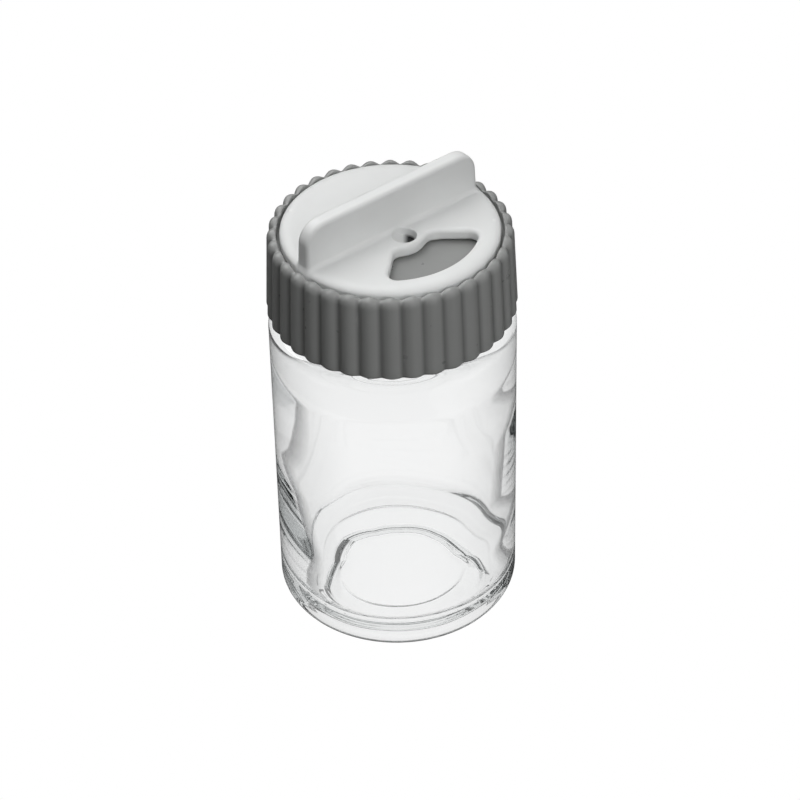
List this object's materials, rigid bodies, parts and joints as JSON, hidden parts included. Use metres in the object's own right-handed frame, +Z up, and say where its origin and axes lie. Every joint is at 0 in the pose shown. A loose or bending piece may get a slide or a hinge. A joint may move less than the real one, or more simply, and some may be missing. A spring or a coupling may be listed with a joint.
{
  "type": "spice shaker dispenser",
  "caption": "Clear glass spice jar with a ribbed screw cap and a turning dial: a finger bar moves the window over closed, fine, coarse or pour openings.",
  "frame": {"origin": "middle of the jar's base, on the plane that it stands on", "axes": "+Z up along the jar's axis, X along the finger bar at rest, -Y the way the window faces"},
  "size_m": [0.0604, 0.0604, 0.1211],
  "materials": {
    "clear_glass": "clear polished soda glass",
    "liner_foam": "matte closed-cell foam",
    "grey_plastic": "moulded plastic with a low sheen",
    "white_plastic": "moulded plastic with a soft satin"
  },
  "bodies": {
    "jar_body": {"glass_jar": "clear_glass"},
    "liner_body": {"sealing_liner": "liner_foam"},
    "cap_body": {"screw_cap": "grey_plastic"},
    "dial_body": {"shaker_dial": "white_plastic"}
  },
  "joints": [
    {"name": "cap_lift", "type": "slide", "parent": "jar_body", "child": "liner_body", "axis": [0, 0, 1], "range_m": [0, 0.0211]},
    {"name": "cap_turn", "type": "hinge", "parent": "liner_body", "child": "cap_body", "pos_m": [0, 0, 0.1052], "axis": [0, 0, 1], "range_deg": [0, 1800]},
    {"name": "dial_turn", "type": "hinge", "parent": "cap_body", "child": "dial_body", "pos_m": [0, 0, 0.1065], "axis": [0, 0, 1], "continuous": true}
  ],
  "couplings": [
    {"joint": "cap_lift", "follows": "cap_turn", "m_per_rad": 0.00066845}
  ]
}
